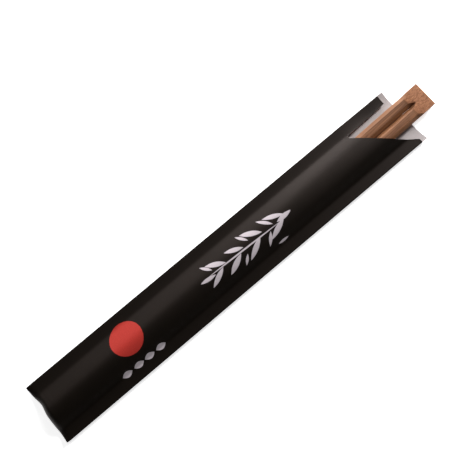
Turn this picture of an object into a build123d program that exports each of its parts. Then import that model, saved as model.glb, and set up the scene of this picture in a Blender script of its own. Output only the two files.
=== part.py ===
from build123d import *
import math
import os

# A joined pair of bamboo chopsticks, not yet snapped apart, lying in its open-ended paper sleeve.
# +X runs along the sleeve from its closed end to the chopstick heads, +Y is the sleeve edge that
# carries the narrow strip beside the mouth, and +Z is up through the printed front.
# The origin is under the middle of the whole length, on the surface that the sleeve lies on.

# ---- driving dimensions, millimetres and degrees ----
# chopsticks
stick_length = 240.0
pair_width = 14.1
pair_thickness = 5.0
tip_pair_width = 8.0
tip_thickness = 3.6
taper_length = 150.0
slit_start = 5.2
slit_width_at_head = 0.4
slit_width_at_tip = 1.5
bevel = 1.95
tip_bevel = 1.1
bevel_cutter_radius = 5.5
bevel_start = 7.15
least_bevel = 0.05
tip_rounding = 3.0
blunt_tip = 0.25
pair_turn = 1.5
head_side_offset = 1.15

# paper sleeve
sleeve_length = 232.0
sleeve_width = 33.0
lip_skew = 1.2
paper = 0.2
fold_height = 2.2
flat_half_width = 9.0
flange_height = 2.3
left_foot = 12.2
right_foot_at_mouth = 10.3
right_foot_at_end = 12.0
crown_clearance = 0.6
foot_ratio = 1.18
steep_power = 6.0
gentle_power = 3.0
crown_fall = 0.12
end_ramp = 8.0
layer_space = 0.06
resting_space = 0.02
side_wall = 0.25
end_wall = 0.5
front_setback = 3.0
strip_setback = 4.0
strip_width = 5.0
notch_x = 202.0
notch_strip_width = 6.3
notch_floor = 1.6
mouth_end_side = 2.0
end_flap = 12.0
flap_to_lap = 0.5
lap_width = 8.0
lap_side_offset = 1.0

# ---- what follows from them ----
turn = math.radians(pair_turn)
head_x = 246.6
half_length = (head_x + pair_width / 2 * math.sin(turn)) / 2
half_width = sleeve_width / 2
floor_height = 2 * paper
bevel_runout = math.sqrt(2 * bevel_cutter_radius * bevel)
runout_start = stick_length - bevel_start - bevel_runout

# ---- how far cutting solids pass what they cut, and layers sink into each other ----
tool_reach = 20.0
margin = 2.0
past_end = sleeve_length + 5
sink = 0.05


def spread(low, high, count):
    """Evenly spaced values from low to high."""
    return [low + (high - low) * step / (count - 1) for step in range(count)]


def pair_centre_line(x):
    """Sideways place of the pair's middle, at a distance x from the sleeve's closed end."""
    return head_side_offset - (head_x - x) * math.tan(turn)


def along_taper(from_tip):
    """0 at the tips and 1 where the taper ends, and on to the heads."""
    return min(1.0, max(0.0, from_tip / taper_length))


def thickness_at(from_tip):
    return tip_thickness + (pair_thickness - tip_thickness) * along_taper(from_tip)


def half_width_at(from_tip):
    return (tip_pair_width + (pair_width - tip_pair_width) * along_taper(from_tip)) / 2


def bevel_at(from_tip):
    """Bevel size: grows a little along the taper, and runs out near the head as a wheel leaves it."""
    full = tip_bevel + (bevel - tip_bevel) * along_taper(from_tip)
    rise = max(0.0, from_tip - runout_start) ** 2 / (2 * bevel_cutter_radius)
    return max(least_bevel, full - rise)


def half_slit_at(from_tip):
    widening = (stick_length - slit_start - from_tip) / stick_length
    return (slit_width_at_head + (slit_width_at_tip - slit_width_at_head) * max(0.0, widening)) / 2


def stick_section(from_tip, side):
    """Eight-sided section of one stick, shrunk towards its own middle where the tip is rounded."""
    inner = half_slit_at(from_tip)
    outer = half_width_at(from_tip)
    height = thickness_at(from_tip)
    corner = bevel_at(from_tip)
    short = max(0.0, 1 - from_tip / tip_rounding)
    scale = math.sqrt(max(blunt_tip ** 2, 1 - short ** 2))
    middle_y = (inner + outer) / 2
    half_y = (outer - inner) / 2 * scale
    half_z = height / 2 * scale
    cut = corner * scale
    corners = [
        (half_y, half_z - cut),
        (half_y - cut, half_z),
        (cut - half_y, half_z),
        (-half_y, half_z - cut),
        (-half_y, cut - half_z),
        (cut - half_y, -half_z),
        (half_y - cut, -half_z),
        (half_y, cut - half_z),
    ]
    points = [Vector(from_tip, side * (middle_y + y), height / 2 + z) for y, z in corners]
    return Face(Wire.make_polygon(points, close=True))


def chopstick_pair():
    """Two bevelled, tapering sticks that stay one piece of bamboo at the heads, past the slit."""
    joined_middle = stick_length - slit_start / 2
    stations = [tip_rounding * part for part in (0.0, 0.12, 0.35, 0.65, 1.0)]
    stations += [taper_length / 2, taper_length]
    stations += spread(runout_start, runout_start + bevel_runout, 6)
    stations += [joined_middle]
    joined_head = Box(slit_start, pair_width, pair_thickness)
    body = Pos(joined_middle, 0, pair_thickness / 2) * joined_head
    for side in (1, -1):
        faces = [stick_section(station, side) for station in stations]
        body += Solid.make_loft([face.outer_wire() for face in faces], ruled=True)
    lying = Pos(-stick_length, 0, 0) * body
    return Pos(head_x, head_side_offset, floor_height + resting_space) * Rot(0, 0, pair_turn) * lying


def back_height(x, y):
    """Upper face of the sleeve's back: flat in the middle, curving up to the side folds."""
    out = max(0.0, abs(y) - flat_half_width) / (half_width - flat_half_width)
    return floor_height + (fold_height - floor_height) * out ** 2


def front_height(x, y):
    """Lower face of the sleeve's front: a flange at each side and a vault over the chopsticks."""
    along = min(1.0, max(0.0, x / sleeve_length))
    middle = pair_centre_line(x)
    right_foot = right_foot_at_end + (right_foot_at_mouth - right_foot_at_end) * along
    if y > middle:
        reach = (left_foot - middle) / foot_ratio
        power = gentle_power + (steep_power - gentle_power) * along
    else:
        reach = (middle + right_foot) / foot_ratio
        power = steep_power
    out = abs(y - middle) / reach
    vault = math.exp(-(out ** power)) * (1 - crown_fall * min(out, 1.5) ** 2)
    from_tip = x - (head_x - stick_length)
    top = floor_height + thickness_at(from_tip) + crown_clearance
    body = flange_height + (top - flange_height) * vault
    rise = 1 - max(0.0, 1 - max(0.0, x) / end_ramp) ** 2
    closed = back_height(x, y) + layer_space
    return closed + (body - closed) * rise


def below(height, lift, x_low, x_high, y_reach):
    """Everything under a height function over a rectangle, down to well below the object."""
    in_ramp = [end_ramp * part for part in (0.12, 0.25, 0.45, 0.65, 0.85, 1.05, 1.4, 2.0)]
    past_ramp = spread(end_ramp * 3, sleeve_length - margin, 11)
    inside = [x for x in in_ramp + past_ramp if x_low + sink < x < x_high - margin]
    xs = [x_low] + inside + [x_high]
    ys = spread(-y_reach, y_reach, 41)
    grid = [[Vector(x, y, height(x, y) + lift) for y in ys] for x in xs]
    top = Face.make_surface_from_array_of_points(grid, tol=0.005)
    return Solid.extrude(top, Vector(0, 0, -tool_reach))


def mouth_outline():
    """Plan of what is cut from the front: the notch beside the strip and the slanting mouth."""
    front_end = sleeve_length - front_setback
    strip_end = sleeve_length - strip_setback
    strip_edge = half_width - strip_width
    notch_edge = half_width - notch_strip_width
    beyond = past_end + margin
    side = half_width + margin
    right_end_y = mouth_end_side - half_width
    points = [
        (beyond, side),
        (strip_end, side),
        (strip_end, strip_edge),
        (notch_x, notch_edge),
        (notch_x, notch_edge - notch_floor),
        (front_end, right_end_y),
        (front_end, -side),
        (beyond, -side),
    ]
    return Wire.make_polygon([Vector(x, y, -tool_reach) for x, y in points], close=True)


def end_trim():
    """Plan of what lies past the back's end edge, which is cut slightly off square."""
    side = half_width + margin
    slope = lip_skew / sleeve_width
    beyond = past_end + 2 * margin
    points = [
        (sleeve_length - slope * side, side),
        (beyond, side),
        (beyond, -side),
        (sleeve_length + slope * side, -side),
    ]
    wire = Wire.make_polygon([Vector(x, y, -tool_reach) for x, y in points], close=True)
    return Solid.extrude(Face(wire), Vector(0, 0, 2 * tool_reach))


def paper_sleeve():
    """One folded sheet: back, raised side folds, vaulted front, mouth, end flap and lap."""
    wide = half_width + margin
    outside = below(front_height, paper, 0.0, past_end, half_width)
    outside -= below(back_height, -paper, -margin, past_end + margin, wide)
    hollow = below(front_height, 0.0, end_wall, past_end + margin, half_width - side_wall)
    mouth = Solid.extrude(Face(mouth_outline()), Vector(0, 0, 2 * tool_reach))
    removed = hollow + mouth
    removed -= below(back_height, 0.0, -margin, past_end + 2 * margin, wide + margin)
    shell = outside - removed

    flap = below(back_height, sink - paper, 0.0, end_flap, half_width)
    flap -= below(back_height, -2 * paper, -margin, end_flap + margin, wide)
    lap_start = end_flap + flap_to_lap
    lap_length = past_end - lap_start
    lap_layer = Box(lap_length, lap_width, paper + sink)
    lap = Pos(lap_start + lap_length / 2, lap_side_offset, (paper + sink) / 2) * lap_layer
    return (shell + flap + lap) - end_trim()


nodes = {
    "chopstick_pair": chopstick_pair(),
    "paper_sleeve": paper_sleeve(),
}

os.makedirs("parts", exist_ok=True)
for name, shape in nodes.items():
    export_step(Pos(-half_length, 0, 0) * shape, f"parts/{name}.step")
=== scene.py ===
import math

import bmesh
import bpy
import numpy as np
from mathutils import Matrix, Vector


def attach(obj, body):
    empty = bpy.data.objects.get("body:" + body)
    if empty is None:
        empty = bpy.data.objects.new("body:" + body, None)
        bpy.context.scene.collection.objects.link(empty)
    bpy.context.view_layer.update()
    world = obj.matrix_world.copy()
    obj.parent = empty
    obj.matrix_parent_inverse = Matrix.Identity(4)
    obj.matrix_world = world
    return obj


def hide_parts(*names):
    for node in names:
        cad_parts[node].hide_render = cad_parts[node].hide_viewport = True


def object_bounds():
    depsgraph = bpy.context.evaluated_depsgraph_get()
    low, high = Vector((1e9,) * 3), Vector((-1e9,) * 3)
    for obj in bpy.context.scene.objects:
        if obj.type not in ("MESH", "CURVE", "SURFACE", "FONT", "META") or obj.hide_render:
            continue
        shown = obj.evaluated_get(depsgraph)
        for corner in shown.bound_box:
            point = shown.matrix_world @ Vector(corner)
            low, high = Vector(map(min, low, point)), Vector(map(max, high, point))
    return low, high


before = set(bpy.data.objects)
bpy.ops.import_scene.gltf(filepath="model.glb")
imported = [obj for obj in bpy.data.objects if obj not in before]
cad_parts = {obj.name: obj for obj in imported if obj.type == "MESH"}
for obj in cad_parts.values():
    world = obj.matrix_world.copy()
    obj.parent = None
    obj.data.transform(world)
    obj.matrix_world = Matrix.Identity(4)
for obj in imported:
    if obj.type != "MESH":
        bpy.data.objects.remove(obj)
cad_low, cad_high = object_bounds()

# An unsnapped pair of bamboo chopsticks in its folded, printed paper sleeve.
# +X runs along the sleeve to the chopstick heads, +Y is the edge with the narrow strip, +Z is up.

mm = 0.001

# ---- sizes shared by the pieces ----
half_length = (cad_high[0] - cad_low[0]) / 2
head_x = 246.6 * mm - half_length
closed_x = -half_length
pair_turn = math.radians(1.5)
head_side_offset = 1.1 * mm
resting_height = 0.42 * mm

# ---- chopsticks ----
stick_length = 240 * mm
pair_width = 14.2 * mm
pair_thickness = 5 * mm
tip_pair_width = 8 * mm
tip_thickness = 3.6 * mm
taper_length = 150 * mm
slit_start = 5.2 * mm
slit_width_at_head = 0.03 * mm
slit_width_at_tip = 1.5 * mm
bevel = 1.95 * mm
tip_bevel = 1.1 * mm
cutter_radius = 5.5 * mm
bevel_start = 7.15 * mm
start_slant = 0.11
planed_depth = 0.12 * mm
planed_start = 10.4 * mm
planed_fade = 1.2 * mm
tip_rounding = 3 * mm
eased_edge = 0.14 * mm
corner_rounding = 0.16 * mm
longest_rounding_share = 0.4
side_flat_share = 0.6
sharp_angle = math.radians(50)
slit_opening = 4 * mm
straight_part = 190 * mm
run_out_part = 8 * mm
slit_tip_part = 1.2 * mm
closed_slit = 0.02 * mm
blunt_tip_share = 0.06
chopstick_merge = 0.0005 * mm

# ---- paper sleeve ----
sleeve_length = 232 * mm
sleeve_width = 33 * mm
half_width = sleeve_width / 2
paper = 0.12 * mm
lip_skew = 1.2 * mm
flat_half_width = 9 * mm
fold_inset = 0.17 * mm
bottom_layers = 0.4 * mm
upper_layer = 0.33 * mm
upper_layer_drop = 0.03 * mm
lap_step_under_flap = 0.125 * mm
lap_layer = 0.08 * mm
flap_layer = 0.08 * mm
front_gap = 0.03 * mm
flap_step_start = 0.5 * mm
flap_step = 5 * mm
lap_step_start = 3 * mm
lap_step = 2.6 * mm
left_fold_height = 1.9 * mm
right_fold_height = 2.2 * mm
flange_height = 2.4 * mm
flange_lean = 0.04
left_foot_at_end = 9.9 * mm
left_foot_at_mouth = 11.8 * mm
right_foot = 10.85 * mm
left_slope_at_end = 0.46
left_slope_at_mouth = 0.53
right_slope_at_end = 0.82
right_slope_at_mouth = 0.68
crest_side_at_end = 0.6 * mm
crest_side_at_mouth = -0.2 * mm
crest_at_end = 6.25 * mm
crest_at_mouth = 6.65 * mm
crest_curve_at_end = 0.022 / mm
crest_curve_at_mouth = 0.021 / mm
foot_crease = 0.37 * mm
left_shoulder_round = 1.2 * mm
right_shoulder_round = 0.7 * mm
left_taper = 0.075
right_spread = 0.016
taper_side = 10 * mm
strip_sag = 0.35
strip_sag_start = 20 * mm
mouth_bow = 1.4 * mm
end_ramp = 4 * mm
layer_space = 0.1 * mm
end_dent = 1.0 * mm
end_dent_side = 5 * mm
end_dent_reach = 4 * mm
front_end = sleeve_length - 3 * mm
strip_end = sleeve_length - 4 * mm
strip_width = 5.4 * mm
notch_apex = (199.7 * mm, 10.1 * mm)
notch_radius = 1.0 * mm
mouth_end_side = 2 * mm
flap_length = 12 * mm
lap_width = 8 * mm
lap_side_offset = 1 * mm
flap_bend = 0.25 * mm
flap_bend_length = 0.6 * mm
level_cut = 196 * mm
level_back = 8 * mm
lap_side = 2 * mm
square_corner = 0.01 * mm
fine_part = 1.5 * end_ramp
fine_row_power = 1.4
fold_cut_steepness = 1.6
fold_cut_start = 0.3
measured_row = 60
left_back, left_fold, front, right_fold, right_back = range(5)
sleeve_merge = 0.004 * mm

# ---- print on the flat blank ----
blank_unit = 260 * mm
blank_middle = np.array([0.5, 0.06])
print_edge = 0.06 * mm
disc_middle = (-3.3, 52.0)
disc_radius = 8.6
# lenses: across and along the blank, turn in degrees, half length and half width
stem = [(0.6, 123.5, 88, 24.5, 0.4)]
sprig_leaves = [
    (-3.0, 144.6, 64, 5.6, 1.25), (3.4, 142.6, 112, 6.2, 1.35), (0.4, 149.0, 92, 4.6, 1.2),
    (-3.4, 139.4, 40, 4.4, 0.9), (5.0, 136.6, 140, 3.8, 0.85),
    (-3.6, 130.6, 58, 5.8, 1.45), (3.8, 128.0, 120, 6.4, 1.35), (-4.6, 125.6, 34, 3.6, 0.8),
    (-2.6, 119.0, 66, 5.0, 1.2), (3.6, 115.6, 116, 5.8, 1.4), (5.4, 121.2, 136, 3.0, 0.7),
    (-3.0, 107.6, 60, 5.4, 1.35), (3.0, 104.8, 116, 5.6, 1.25), (-4.4, 102.6, 38, 3.4, 0.8),
    (0.6, 100.4, 84, 4.4, 1.0),
]
small_bar = [(9.9, 141.6, 90, 3.2, 0.7)]
leaf_row = [(11.1, along, 90, 2.9, 1.7) for along in (41.7, 48.8, 55.3, 62.2)]
silver_shapes = stem + sprig_leaves + small_bar + leaf_row


# ======================================================================
# Meshes
# ======================================================================

def grid_faces(rows, columns, around=False):
    """Quads between the neighbouring points of a rows by columns grid, closed around if asked."""
    index = np.arange(rows * columns).reshape(rows, columns)
    if around:
        index = np.concatenate([index, index[:, :1]], axis=1)
    low, high = index[:-1], index[1:]
    quads = np.stack([low[:, :-1], low[:, 1:], high[:, 1:], high[:, :-1]], axis=-1)
    return quads.reshape(-1, 4)


def mesh_object(name, points, faces):
    """A mesh object at the origin, from an array of points and a list of faces."""
    mesh = bpy.data.meshes.new(name)
    mesh.from_pydata(points.tolist(), [], faces)
    mesh.update()
    piece = bpy.data.objects.new(name, mesh)
    bpy.context.scene.collection.objects.link(piece)
    return piece


def merge_and_point_outwards(piece, distance):
    """Joins points that coincide, drops faces with no area and turns every face outwards."""
    work = bmesh.new()
    work.from_mesh(piece.data)
    bmesh.ops.remove_doubles(work, verts=work.verts, dist=distance)
    bmesh.ops.dissolve_degenerate(work, edges=work.edges, dist=distance)
    bmesh.ops.recalc_face_normals(work, faces=work.faces)
    for edge in work.edges:
        edge.smooth = not edge.is_boundary
    work.to_mesh(piece.data)
    work.free()


def smooth_step(value):
    """0 below 0, 1 above 1, and 3t^2 - 2t^3 between them."""
    held = np.clip(value, 0, 1)
    return held * held * (3 - 2 * held)


# ======================================================================
# The chopsticks
# ======================================================================

def along_taper(from_tip):
    """0 at the tips, rising evenly to 1 where the taper ends."""
    return np.clip(from_tip / taper_length, 0, 1)


def pair_thickness_at(from_tip):
    """The pair's thickness before the tops are planed, growing evenly along the taper."""
    return tip_thickness + (pair_thickness - tip_thickness) * along_taper(from_tip)


def cut_depth(from_tip, depth, start):
    """How deep a round cutter cuts that leaves the wood at this start, measured from the head: the
    full depth, less the square of the way into the run-out over twice the cutter's radius."""
    runout = np.sqrt(2 * cutter_radius * depth)
    into = np.maximum(0, from_tip - (stick_length - start - runout))
    return np.maximum(0, depth - into ** 2 / (2 * cutter_radius))


def stick_outline(from_tip, side):
    """Corners of one stick's eight-sided section at each station, as (stations, 8, 2) of (y, z).
    y is measured outwards from the sawn slit's middle and z from mid thickness."""
    past_slit = np.maximum(0, stick_length - slit_start - from_tip)
    opening = np.minimum(1, np.sqrt(past_slit / slit_opening))
    widening = slit_width_at_head + (slit_width_at_tip - slit_width_at_head) * past_slit / stick_length
    inner = widening * opening / 2
    width = tip_pair_width + (pair_width - tip_pair_width) * along_taper(from_tip)
    outer = width / 2
    half = pair_thickness_at(from_tip) / 2
    full = tip_bevel + (bevel - tip_bevel) * along_taper(from_tip)
    outer_start = bevel_start - side * start_slant * pair_width / 2
    outer_cut = np.maximum(eased_edge, cut_depth(from_tip, full, outer_start))
    inner_cut = cut_depth(from_tip, full, bevel_start)
    top = half - cut_depth(from_tip, planed_depth, planed_start)

    short = np.maximum(0, 1 - from_tip / tip_rounding)
    scale = np.sqrt(np.maximum(blunt_tip_share, 1 - short ** 2))
    end = np.clip((from_tip - stick_length + eased_edge) / eased_edge, 0, 1) * eased_edge
    corners = np.stack([
        np.stack([inner, -half + inner_cut + end], -1),
        np.stack([inner, top - inner_cut - end], -1),
        np.stack([inner + inner_cut, top - end], -1),
        np.stack([outer - outer_cut - end, top - end], -1),
        np.stack([outer - end, top - outer_cut - end], -1),
        np.stack([outer - end, -half + outer_cut + end], -1),
        np.stack([outer - outer_cut - end, -half + end], -1),
        np.stack([inner + inner_cut, -half + end], -1),
    ], axis=1)
    middle = np.stack([(inner + outer) / 2, np.zeros_like(inner)], -1)[:, None]
    return middle + (corners - middle) * scale[:, None, None]


def rounded(corners, reach):
    """Each corner becomes the three points of a quadratic curve: one this far back along the edge
    before it, the curve's middle, and one this far along the edge after it."""
    to_before = np.roll(corners, 1, axis=1) - corners
    to_after = np.roll(corners, -1, axis=1) - corners
    before_length = np.linalg.norm(to_before, axis=-1, keepdims=True)
    after_length = np.linalg.norm(to_after, axis=-1, keepdims=True)
    back = np.minimum(reach, before_length * longest_rounding_share) / np.maximum(before_length, 1e-9)
    on = np.minimum(reach, after_length * longest_rounding_share) / np.maximum(after_length, 1e-9)
    first = corners + to_before * back
    last = corners + to_after * on
    middle = (first + 2 * corners + last) / 4
    return np.stack([first, middle, last], axis=2).reshape(len(corners), -1, 2)


def make_chopsticks():
    """Both sticks as rounded eight-sided sections carried from the tips to the heads. Past the
    slit their inner sides lie together on the middle line and are left out, so it is one piece.
    The attribute "planed" is 1 on every face that a cutter reached and 0 on the sawn head, and
    "flat" is 1 on the planed tops. On the underside it is 1 beside the flat instead of on it."""
    slit_end = stick_length - slit_start
    stations = np.concatenate([
        tip_rounding * (1 - np.cos(np.linspace(0, math.pi / 2, 9))),
        np.linspace(tip_rounding, straight_part, 40)[1:],
        np.linspace(straight_part, slit_end - run_out_part, 40)[1:],
        np.linspace(slit_end - run_out_part, slit_end - slit_tip_part, 44)[1:],
        slit_end - slit_tip_part * np.linspace(1, 0, 8)[1:] ** 2,
        np.linspace(slit_end, stick_length - eased_edge, 10)[1:],
        [stick_length],
    ])
    joined = (stations >= slit_end - 1e-9)[:, None]
    reached = smooth_step((stick_length - planed_start - stations) / planed_fade + 0.5)
    bevelled = smooth_step((stick_length - bevel_start - stations) / planed_fade)
    # each corner has three points. The top lies between the third corner and the fourth, and the
    # underside between the seventh and the eighth, where the full share is on the far points.
    flat_share = np.zeros(24)
    flat_share[[7, 10, 19, 22]] = side_flat_share
    flat_share[[8, 9, 18, 23]] = 1
    height = resting_height + pair_thickness_at(stations) / 2

    points = []
    faces = []
    planed = []
    flat = []
    for side in (1, -1):
        outline = rounded(stick_outline(stations, side), corner_rounding)
        rows, columns = outline.shape[:2]
        out = np.where(joined & (outline[..., 0] < closed_slit), 0, outline[..., 0])
        x = np.broadcast_to((stations - stick_length)[:, None], out.shape)
        points.append(np.stack([x, out * side, outline[..., 1] + height[:, None]], -1).reshape(-1, 3))
        flat.append((reached[:, None] * flat_share).ravel())
        planed.append((reached[:, None] * flat_share + bevelled[:, None] * (1 - flat_share)).ravel())
        start = 0 if side == 1 else rows * columns
        quads = grid_faces(rows, columns, around=True)
        on_middle = (out == 0).ravel()
        kept = quads[~on_middle[quads].all(axis=1)] + start
        caps = np.arange(rows * columns).reshape(rows, columns)[[0, -1]] + start
        faces += kept.tolist() + caps.tolist()
    points = np.concatenate(points)

    turned = points.copy()
    turned[:, 0] = points[:, 0] * math.cos(pair_turn) - points[:, 1] * math.sin(pair_turn) + head_x
    turned[:, 1] = points[:, 0] * math.sin(pair_turn) + points[:, 1] * math.cos(pair_turn)
    turned[:, 1] += head_side_offset
    piece = mesh_object("chopsticks", turned, faces)
    for name, values in (("planed", planed), ("flat", flat)):
        attribute = piece.data.attributes.new(name, "FLOAT", "POINT")
        attribute.data.foreach_set("value", np.concatenate(values))
    merge_and_point_outwards(piece, chopstick_merge)
    return piece


# ======================================================================
# The sleeve
# ======================================================================

def trough(y):
    """How far the back has risen off the table: not at all in the middle, then with the square of
    the way out to each fold."""
    out = np.maximum(0, np.abs(y) - flat_half_width) / (half_width - flat_half_width)
    rise = np.where(y > 0, left_fold_height, right_fold_height) - bottom_layers
    return rise * out ** 2


def smooth_lower(first, second, reach):
    """The lower of two heights, rounded over where they cross: the mean of both, less half the
    square root of their difference squared plus the reach squared."""
    return (first + second - np.sqrt((first - second) ** 2 + reach ** 2)) / 2


def front_height(x, y):
    """Lower face of the front. Over the chopsticks it is the lowest of a left slope, a crest that
    falls with the square of the way from its top line, and a right slope. Outside the two feet it
    is a flange that leans a little to the left. Near the closed end it comes down to the back as
    a quarter of an ellipse."""
    along = np.clip(x / sleeve_length, 0, 1)
    left_foot = left_foot_at_end + (left_foot_at_mouth - left_foot_at_end) * along
    left_slope = left_slope_at_end + (left_slope_at_mouth - left_slope_at_end) * along
    right_slope = right_slope_at_end + (right_slope_at_mouth - right_slope_at_end) * along
    crest = crest_at_end + (crest_at_mouth - crest_at_end) * along
    crest_side = crest_side_at_end + (crest_side_at_mouth - crest_side_at_end) * along
    crest_curve = crest_curve_at_end + (crest_curve_at_mouth - crest_curve_at_end) * along
    left = flange_height + left_slope * (left_foot - y)
    right = flange_height + right_slope * (y + right_foot)
    arch = crest - crest_curve * (y - crest_side) ** 2
    vault = smooth_lower(smooth_lower(left, arch, left_shoulder_round), right, right_shoulder_round)
    foot = np.where(y > 0, left_foot, -right_foot)
    flange = flange_height - flange_lean * (y - foot)
    body = -smooth_lower(-vault, -flange, foot_crease)
    rise = np.sqrt(1 - np.clip(1 - x / end_ramp, 0, 1) ** 2)
    closed = trough(y) + bottom_layers + layer_space
    return closed + (body - closed) * rise


def mouth_line(y):
    """How far the front reaches at each y: the strip's end, the strip's inner edge, a round notch
    tangent to that edge and to the slanting mouth, the mouth, bowed in by half a sine wave where
    the paper rises over the sticks, and its short square end."""
    apex = np.array(notch_apex)
    strip_corner = np.array([strip_end, half_width - strip_width])
    mouth_corner = np.array([front_end, mouth_end_side - half_width])
    edge_way = (strip_corner - apex) / np.linalg.norm(strip_corner - apex)
    mouth_way = (mouth_corner - apex) / np.linalg.norm(mouth_corner - apex)
    half_angle = math.acos(float(edge_way @ mouth_way)) / 2
    middle_way = (edge_way + mouth_way) / np.linalg.norm(edge_way + mouth_way)
    centre = apex + middle_way * notch_radius / math.sin(half_angle)
    tangent = notch_radius / math.tan(half_angle)
    edge_y = apex[1] + edge_way[1] * tangent
    mouth_y = apex[1] + mouth_way[1] * tangent

    edge_x = apex[0] + (y - apex[1]) * edge_way[0] / edge_way[1]
    mouth_x = apex[0] + (y - apex[1]) * mouth_way[0] / mouth_way[1]
    share = np.clip((mouth_y - y) / (mouth_y - mouth_corner[1]), 0, 1)
    mouth_x = mouth_x - mouth_bow * np.sin(np.pi * share)
    arc_x = centre[0] - np.sqrt(np.maximum(0, notch_radius ** 2 - (y - centre[1]) ** 2))
    reach = np.where(y > edge_y, edge_x, np.where(y < mouth_y, mouth_x, arc_x))
    reach = np.where(y >= strip_corner[1], strip_end, reach)
    reach = np.where(y <= mouth_corner[1], front_end, reach)
    return reach, (edge_y, mouth_y)


def sheet_across():
    """The sheet's columns in order: the left back from the lap to the fold, the left fold, the
    front, the right fold and the right back as far as its end under the lap. Each column has a
    part number, a sideways place and, on a fold, the angle round it."""
    fold_y = half_width - fold_inset
    round_fold = np.radians(np.linspace(-90, 90, 9)[1:-1])
    _, (edge_y, mouth_y) = mouth_line(np.zeros(1))
    strip_y = half_width - strip_width
    right_y = mouth_end_side - half_width
    inner_lap = lap_side_offset - lap_width / 2
    outer_lap = lap_side_offset + lap_width / 2
    left_back_y = np.concatenate([
        np.linspace(inner_lap, level_back, 12),
        np.linspace(level_back, fold_y, 12)[1:],
    ])
    front_y = np.concatenate([
        np.linspace(fold_y, strip_y + square_corner, 10),
        np.linspace(strip_y, edge_y, 10),
        np.linspace(edge_y, mouth_y, 14)[1:],
        np.linspace(mouth_y, right_y, 64)[1:],
        np.linspace(right_y - square_corner, -fold_y, 5),
    ])
    right_back_y = np.concatenate([
        np.linspace(-fold_y, -level_back, 12),
        np.linspace(-level_back, -lap_side, 14)[1:],
        np.linspace(-lap_side, outer_lap, 10)[1:],
    ])
    fold_columns = np.ones_like(round_fold)
    sideways = [left_back_y, fold_columns * fold_y, front_y, fold_columns * -fold_y, right_back_y]
    angles = [left_back_y * 0, round_fold, front_y * 0, round_fold[::-1], right_back_y * 0]
    part = np.repeat(np.arange(5), [len(y) for y in sideways])
    return part, np.concatenate(sideways), np.concatenate(angles)


def layer_heights(x, y, part):
    """Height of the sheet's middle on the back. Under the flap the layers lie close together;
    past it the right back steps down from the others to the lap's own layer, next to the table."""
    past_flap = smooth_step((x - flap_length - flap_step_start) / flap_step)
    upper = upper_layer - upper_layer_drop * past_flap
    inner_lap = lap_side_offset - lap_width / 2
    under_lap = smooth_step((y - inner_lap + lap_step_start) / lap_step)
    lower_by_flap = upper_layer - lap_step_under_flap * under_lap
    past_height = upper_layer - upper_layer_drop
    lower_past = past_height - (past_height - lap_layer) * under_lap
    lower = lower_by_flap + (lower_past - lower_by_flap) * past_flap
    return trough(y) + np.where(part >= right_fold, lower, upper)


def dent(x, y):
    """How far the closed end is pushed in: a bell across, fading along as exp(-x / reach)."""
    across = np.exp(-((y - end_dent_side) / end_dent_reach) ** 2)
    return end_dent * across * np.exp(-np.abs(x) / end_dent_reach)


def cut_ends(part, y, angle):
    """Where each column is cut: the mouth on the front, the skewed lip on the back, and on a fold
    a smooth step from the lip to the end of the front beside it."""
    mouth, _ = mouth_line(y)
    lip = sleeve_length - lip_skew * y / sleeve_width
    side_end = np.where(part == left_fold, strip_end, front_end)
    round_share = angle / math.pi + 0.5
    folded = lip + (side_end - lip) * smooth_step(round_share * fold_cut_steepness - fold_cut_start)
    on_fold = (part == left_fold) | (part == right_fold)
    return np.where(part == front, mouth, np.where(on_fold, folded, lip))


def rows_along(end_x):
    """Places along the sleeve for every row and column: close together at the closed end, level
    with each other up to the mouth, then in even steps to each column's own cut end."""
    level = np.concatenate([
        flap_bend + (fine_part - flap_bend) * np.linspace(0, 1, 22) ** fine_row_power,
        np.linspace(fine_part, level_cut, 74)[1:],
    ])
    to_cut = np.linspace(0, 1, 24)[1:]
    return np.concatenate([
        np.repeat(level[:, None], len(end_x), axis=1),
        level_cut + to_cut[:, None] * (end_x - level_cut)[None],
    ])


def fold_up(x, y, part, angle):
    """Sideways place and height of the folded sheet: the backs lie at their layer's height, the
    front passes over the sticks, and each fold goes half round from one to the other. The strip
    beside the mouth sags a little, and the sleeve narrows towards its closed end."""
    back = layer_heights(x, y, part)
    over = front_height(x, y) + paper / 2 + front_gap
    sag = strip_sag * smooth_step((x - notch_apex[0]) / strip_sag_start) * (y > notch_apex[1])
    over = over - sag * (over - back)
    on_fold = (part == left_fold) | (part == right_fold)
    radius = np.where(on_fold, (over - back) / 2, 0)
    z = np.where(part == front, over, back)
    z = np.where(on_fold, (over + back) / 2 + radius * np.sin(angle), z)
    y = y + np.sign(y) * radius * np.cos(angle)
    narrower = left_taper * (1 - x / sleeve_length) * np.maximum(0, y - taper_side)
    wider = right_spread * np.maximum(0, -y - taper_side)
    return y - narrower - wider, z


def end_flap(y, top_z):
    """The flap's rows: from the front's first row half round the closed end, then flat under the
    back. Gives the three coordinates and the way along the paper."""
    under_z = trough(y) + flap_layer
    radius = (top_z - under_z) / 2
    turn = np.linspace(0, math.pi, 9)[:, None]
    round_x = flap_bend - np.minimum(radius, flap_bend) * np.sin(turn)
    round_z = (top_z + under_z) / 2 + radius * np.cos(turn)
    flat_way = np.linspace(flap_bend, flap_length, 12)[1:]
    x = np.concatenate([round_x, np.repeat(flat_way[:, None], len(y), axis=1)])
    z = np.concatenate([round_z, np.repeat(under_z[None], len(flat_way), axis=0)])
    way = np.concatenate([np.linspace(0, flap_bend_length, len(turn)), flat_way])
    return x, np.broadcast_to(y, x.shape), z, way


def pushed_in(x, y, z):
    """A grid's points, with the closed end pushed in and the sleeve moved to its own place."""
    return np.stack([closed_x + x + dent(x, y), y, z], -1).reshape(-1, 3)


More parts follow.
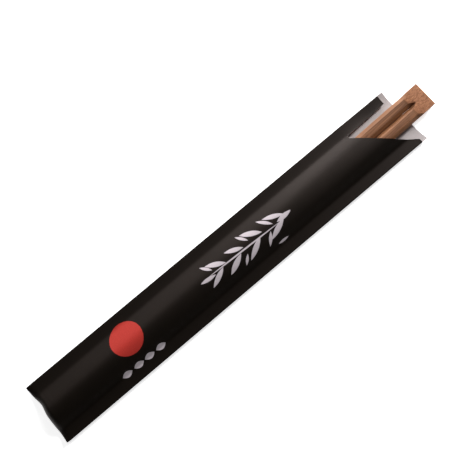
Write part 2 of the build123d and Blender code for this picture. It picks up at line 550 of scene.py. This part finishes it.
def make_sleeve():
    """The whole blank as one sheet of paper. Along the sleeve every column runs from the closed
    end to its own cut end; across, it goes back, fold, front, fold, back. The front carries on
    round the closed end as a flap under the back."""
    part, column_y, angle = sheet_across()
    end_x = cut_ends(part, column_y, angle)
    x = rows_along(end_x)
    y, z = fold_up(x, np.broadcast_to(column_y, x.shape), part, angle)
    on_front = np.flatnonzero(part == front)
    flap_x, flap_y, flap_z, flap_way = end_flap(y[0, on_front], z[0, on_front])
    faces = np.concatenate([
        grid_faces(*x.shape),
        grid_faces(*flap_x.shape) + x.size,
    ])
    points = np.concatenate([pushed_in(x, y, z), pushed_in(flap_x, flap_y, flap_z)])
    piece = mesh_object("printed_sleeve", points, faces.tolist())

    # the flat blank, for the print: across along the paper from the front's middle, and along
    steps = np.hypot(np.diff(y[measured_row]), np.diff(z[measured_row]))
    across = np.concatenate([[0], np.cumsum(steps)])
    across -= np.interp(0, -column_y[on_front], across[on_front])
    flap_across, flap_along = np.broadcast_arrays(across[on_front], -flap_way[:, None])
    blank = np.concatenate([
        np.stack([np.broadcast_to(across, x.shape), x], -1).reshape(-1, 2),
        np.stack([flap_across, flap_along], -1).reshape(-1, 2),
    ])
    layer = piece.data.uv_layers.new(name="blank")
    corners = np.empty(len(piece.data.loops), int)
    piece.data.loops.foreach_get("vertex_index", corners)
    layer.uv.foreach_set("vector", (blank[corners] / blank_unit + blank_middle).ravel())

    # each strip between two columns is as long as its cut end says, and the flap comes on top
    lengths = (end_x[1:] + end_x[:-1]) / 2
    area = float(steps @ lengths) + (sleeve_width - 2 * fold_inset) * flap_length
    size = (float(across[-1] - across[0]), sleeve_length + flap_length)
    return piece, size, area


# ======================================================================
# Materials
# ======================================================================

class Finish:
    """A material with a Principled shader, and short ways to add nodes to it."""

    def __init__(self, name, **constants):
        self.material = bpy.data.materials.new(name)
        self.material.use_nodes = True
        self.tree = self.material.node_tree
        self.shader = self.tree.nodes["Principled BSDF"]
        for socket, value in constants.items():
            self.shader.inputs[socket.replace("_", " ")].default_value = value

    def add(self, kind, inputs=(), **settings):
        node = self.tree.nodes.new("ShaderNode" + kind)
        for key, value in settings.items():
            setattr(node, key, value)
        for socket, value in dict(inputs).items():
            self.put(node.inputs[socket], value)
        return node

    def put(self, socket, value):
        if isinstance(value, bpy.types.NodeSocket):
            self.tree.links.new(value, socket)
        else:
            socket.default_value = value

    def maths(self, operation, first, second=0.0):
        return self.add("Math", {0: first, 1: second}, operation=operation).outputs[0]

    def object_place(self, scale=(1, 1, 1), turn=0.0):
        place = self.add("TexCoord").outputs["Object"]
        mapping = self.add("Mapping", {"Vector": place, "Scale": scale, "Rotation": (0, 0, turn)})
        return mapping.outputs[0]

    def stretched(self, place, share):
        """Lengthens a pattern along the sticks: only this share of the way along counts."""
        node = self.add("VectorMath", {0: place, 1: (share, 1.0, 1.0)}, operation="MULTIPLY")
        return node.outputs[0]

    def noise(self, place, scale, detail=3.0, roughness=0.5):
        node = self.add("TexNoise", {"Vector": place, "Scale": scale, "Detail": detail,
                                     "Roughness": roughness})
        return node.outputs["Fac"]

    def ramp(self, value, low, high, low_to=0.0, high_to=1.0):
        node = self.add("MapRange", {"Value": value, "From Min": low, "From Max": high,
                                     "To Min": low_to, "To Max": high_to})
        return node.outputs[0]

    def mix(self, share, first, second):
        node = self.add("Mix", data_type="RGBA")
        self.put(node.inputs[0], share)
        self.put(node.inputs[6], first)
        self.put(node.inputs[7], second)
        return node.outputs[2]

    def bump(self, height, distance, strength=1.0, under=None):
        inputs = {"Height": height, "Distance": distance, "Strength": strength}
        if under is not None:
            inputs["Normal"] = under
        return self.add("Bump", inputs).outputs[0]

    def show(self, socket, value):
        self.put(self.shader.inputs[socket], value)


def colour(red, green, blue):
    """An opaque colour for a shader's socket."""
    return (red, green, blue, 1.0)


def bamboo_finish():
    """Carbonised bamboo: long brown fibre streaks, short dark fibre ends and a fine lengthwise
    ribbing. The planed tops are darker and closer grained than the sawn head and the bevels."""
    finish = Finish("carbonised_bamboo", Roughness=0.6, Specular_IOR_Level=0.22)
    lengthwise = finish.object_place(turn=-pair_turn)
    fibre_place = finish.stretched(lengthwise, 0.03)
    fibres = finish.noise(fibre_place, 2600.0, 4.0, 0.6)
    streaks = finish.noise(fibre_place, 1300.0, 3.0, 0.55)
    dashes = finish.noise(finish.stretched(lengthwise, 0.12), 2300.0, 1.0, 0.4)
    pores = finish.noise(finish.stretched(lengthwise, 0.4), 1900.0, 3.0, 0.65)
    planed = finish.add("Attribute", attribute_name="planed").outputs["Fac"]
    flat = finish.add("Attribute", attribute_name="flat").outputs["Fac"]
    sawn_wood = finish.mix(finish.ramp(pores, 0.36, 0.62), colour(0.42, 0.182, 0.084),
                           colour(0.20, 0.074, 0.031))
    bevel_wood = finish.mix(finish.ramp(streaks, 0.4, 0.6), colour(0.21, 0.088, 0.037),
                            colour(0.33, 0.146, 0.063))
    flat_wood = finish.mix(finish.ramp(streaks, 0.4, 0.6), colour(0.115, 0.044, 0.017),
                           colour(0.29, 0.125, 0.055))
    base = finish.mix(planed, sawn_wood, finish.mix(flat, bevel_wood, flat_wood))
    cut_share = finish.ramp(planed, 0.0, 1.0, 0.3, 1.0)
    dark_share = finish.maths("MULTIPLY", finish.ramp(fibres, 0.38, 0.66, 0.0, 0.6), cut_share)
    fine = finish.mix(dark_share, base, colour(0.10, 0.037, 0.016))
    dash_share = finish.maths("MULTIPLY", finish.ramp(dashes, 0.6, 0.72, 0.0, 0.5), cut_share)
    marked = finish.mix(dash_share, fine, colour(0.07, 0.024, 0.010))
    finish.show("Base Color", marked)
    relief = finish.bump(pores, 0.08 * mm, 0.35)
    finish.show("Normal", finish.bump(fibres, 0.05 * mm, 0.5, under=relief))
    return finish.material


def lens_shape(finish, place, middle, turn, length, width):
    """1 inside a leaf-shaped lens and 0 outside it: |across| < width * (1 - (along / length)^2),
    both half sizes, about a middle on the blank and turned by an angle."""
    local = finish.add("Mapping", {"Vector": place, "Location": (-middle[0], -middle[1], 0)})
    turned = finish.add("Mapping", {"Vector": local.outputs[0], "Rotation": (0, 0, -turn)})
    axes = finish.add("SeparateXYZ", {0: turned.outputs[0]})
    along, across = axes.outputs[0], finish.maths("ABSOLUTE", axes.outputs[1])
    square = finish.maths("POWER", finish.maths("DIVIDE", finish.maths("ABSOLUTE", along), length), 2.0)
    edge = finish.maths("MULTIPLY", finish.maths("SUBTRACT", 1.0, square), width)
    inside = finish.maths("SUBTRACT", edge, across)
    return finish.ramp(inside, -print_edge, print_edge)


def print_layers(finish):
    """The print on the flat blank, placed in metres across it and then along it. Silver is a
    sprig of bamboo leaves, a small bar and a row of four leaves; red is one plain disc."""
    blank = finish.add("UVMap", uv_map="blank").outputs[0]
    place = finish.add("Mapping", {"Vector": blank, "Scale": (blank_unit, blank_unit, 1),
                                   "Location": tuple(-blank_middle * blank_unit) + (0,)}).outputs[0]
    silver = 0.0
    for across, along, turn, length, width in silver_shapes:
        shape = lens_shape(finish, place, (across * mm, along * mm), math.radians(turn),
                           length * mm, width * mm)
        silver = finish.maths("MAXIMUM", silver, shape)
    centre = finish.add("Mapping", {"Vector": place, "Location": (
        -disc_middle[0] * mm, -disc_middle[1] * mm, 0)}).outputs[0]
    reach = finish.add("VectorMath", {0: centre}, operation="LENGTH").outputs["Value"]
    disc = finish.ramp(finish.maths("SUBTRACT", disc_radius * mm, reach), -print_edge, print_edge)
    return silver, disc


def sleeve_outside():
    """Black coated paper with silver and red print: close to black, a satin sheen, and a faint
    fibre relief under it. The silver is a little smoother than the paper."""
    finish = Finish("black_coated_paper", Roughness=0.5, Specular_IOR_Level=0.235,
                    Specular_Tint=colour(1.0, 0.81, 0.75))
    place = finish.object_place()
    fibre = finish.noise(place, 2400.0, 4.0, 0.6)
    cloud = finish.noise(place, 160.0, 3.0, 0.5)
    black = finish.mix(finish.ramp(cloud, 0.3, 0.7), colour(0.0026, 0.0017, 0.0008),
                       colour(0.0036, 0.0024, 0.0012))
    silver, disc = print_layers(finish)
    worn = finish.ramp(fibre, 0.35, 0.75)
    silver_ink = finish.mix(worn, colour(0.56, 0.50, 0.53), colour(0.46, 0.41, 0.44))
    red_ink = finish.mix(worn, colour(0.46, 0.035, 0.026), colour(0.36, 0.026, 0.020))
    inked = finish.mix(disc, finish.mix(silver, black, silver_ink), red_ink)
    finish.show("Base Color", inked)
    rough = finish.ramp(fibre, 0.3, 0.7, 0.43, 0.5)
    finish.show("Roughness", finish.maths("SUBTRACT", rough, finish.maths("MULTIPLY", silver, 0.08)))
    finish.show("Normal", finish.bump(fibre, 0.02 * mm, 0.35))
    return finish.material


def sleeve_inside():
    """The same sheet's uncoated side: greyish white, with soft fibres."""
    finish = Finish("white_paper_inside", Roughness=0.85)
    place = finish.object_place()
    fibre = finish.noise(place, 1500.0, 5.0, 0.65)
    white = finish.mix(finish.ramp(fibre, 0.3, 0.7), colour(0.42, 0.378, 0.370),
                       colour(0.48, 0.432, 0.430))
    finish.show("Base Color", white)
    finish.show("Normal", finish.bump(fibre, 0.03 * mm, 0.4))
    return finish.material


def floor_finish():
    """Pale and matt, with a little light of its own so that shadows stay soft."""
    finish = Finish("pale_floor", Roughness=0.9, Emission_Strength=0.8)
    place = finish.object_place()
    cloud = finish.noise(place, 40.0, 2.0, 0.5)
    pale = finish.mix(cloud, colour(0.9, 0.9, 0.9), colour(0.92, 0.92, 0.92))
    finish.show("Base Color", pale)
    finish.show("Emission Color", pale)
    return finish.material


# ======================================================================
# The pieces
# ======================================================================

chopsticks = make_chopsticks()
chopsticks.data.materials.append(bamboo_finish())
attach(chopsticks, "root")
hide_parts("chopstick_pair")

sleeve, blank_size, flat_area = make_sleeve()
merge_and_point_outwards(sleeve, sleeve_merge)
for finish in (sleeve_outside(), sleeve_inside()):
    sleeve.data.materials.append(finish)
thickness = sleeve.modifiers.new("paper_thickness", "SOLIDIFY")
thickness.thickness = paper
thickness.offset = 0
thickness.material_offset = 1
thickness.material_offset_rim = 1
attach(sleeve, "root")
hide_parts("paper_sleeve")

for piece in (chopsticks, sleeve):
    piece.data.polygons.foreach_set("use_smooth", [True] * len(piece.data.polygons))
chopsticks.data.set_sharp_from_angle(angle=sharp_angle)


# ======================================================================
# Floor, lights and camera
# ======================================================================

floor_half_size = 2.0
floor_drop = 0.02 * mm


def make_floor():
    """A flat pale sheet, large enough to fill every view, just under the sleeve."""
    across = np.linspace(-floor_half_size, floor_half_size, 5)
    x, y = np.meshgrid(across, across, indexing="ij")
    points = np.stack([x, y, np.full_like(x, -floor_drop)], -1).reshape(-1, 3)
    floor = mesh_object("floor", points, grid_faces(5, 5)[:, ::-1].tolist())
    floor.data.materials.append(floor_finish())


def soft_light(name, azimuth, elevation, distance, size, power):
    """A square soft box at a bearing and height from the object's middle, facing it."""
    lamp = bpy.data.lights.new(name, "AREA")
    lamp.shape = "SQUARE"
    lamp.size = size
    lamp.energy = power
    light = bpy.data.objects.new(name, lamp)
    bearing, height = math.radians(azimuth), math.radians(elevation)
    way = Vector((math.cos(bearing) * math.cos(height), math.sin(bearing) * math.cos(height),
                  math.sin(height)))
    light.location = way * distance
    light.rotation_euler = (-way).to_track_quat("-Z", "Y").to_euler()
    bpy.context.scene.collection.objects.link(light)


def make_camera(target, azimuth, elevation, distance, lens):
    """Looks along a bearing on the table, from a height above it."""
    data = bpy.data.cameras.new("camera")
    data.lens = lens
    data.sensor_width = 36
    data.clip_start = 0.01
    camera = bpy.data.objects.new("camera", data)
    bearing, height = math.radians(azimuth), math.radians(elevation)
    looking = Vector((math.cos(bearing) * math.cos(height), math.sin(bearing) * math.cos(height),
                      -math.sin(height)))
    camera.location = Vector(target) - looking * distance
    camera.rotation_euler = looking.to_track_quat("-Z", "Y").to_euler()
    bpy.context.scene.collection.objects.link(camera)
    bpy.context.scene.camera = camera


make_floor()
soft_light("key_box", azimuth=62, elevation=12, distance=0.85, size=0.21, power=7.2)
soft_light("mouth_box", azimuth=16, elevation=30, distance=0.85, size=0.21, power=8.4)
soft_light("left_box", azimuth=95, elevation=38, distance=1.2, size=0.8, power=3.3)
world = bpy.data.worlds.new("studio")
bpy.context.scene.world = world
world.use_nodes = True
world.node_tree.nodes["Background"].inputs["Color"].default_value = colour(1, 1, 1)
world.node_tree.nodes["Background"].inputs["Strength"].default_value = 0.08
bpy.context.scene.view_settings.view_transform = "Standard"
make_camera(target=(1.136 * mm, 14.854 * mm, 0), azimuth=49.97, elevation=80.95, distance=307.2 * mm,
            lens=48.58)
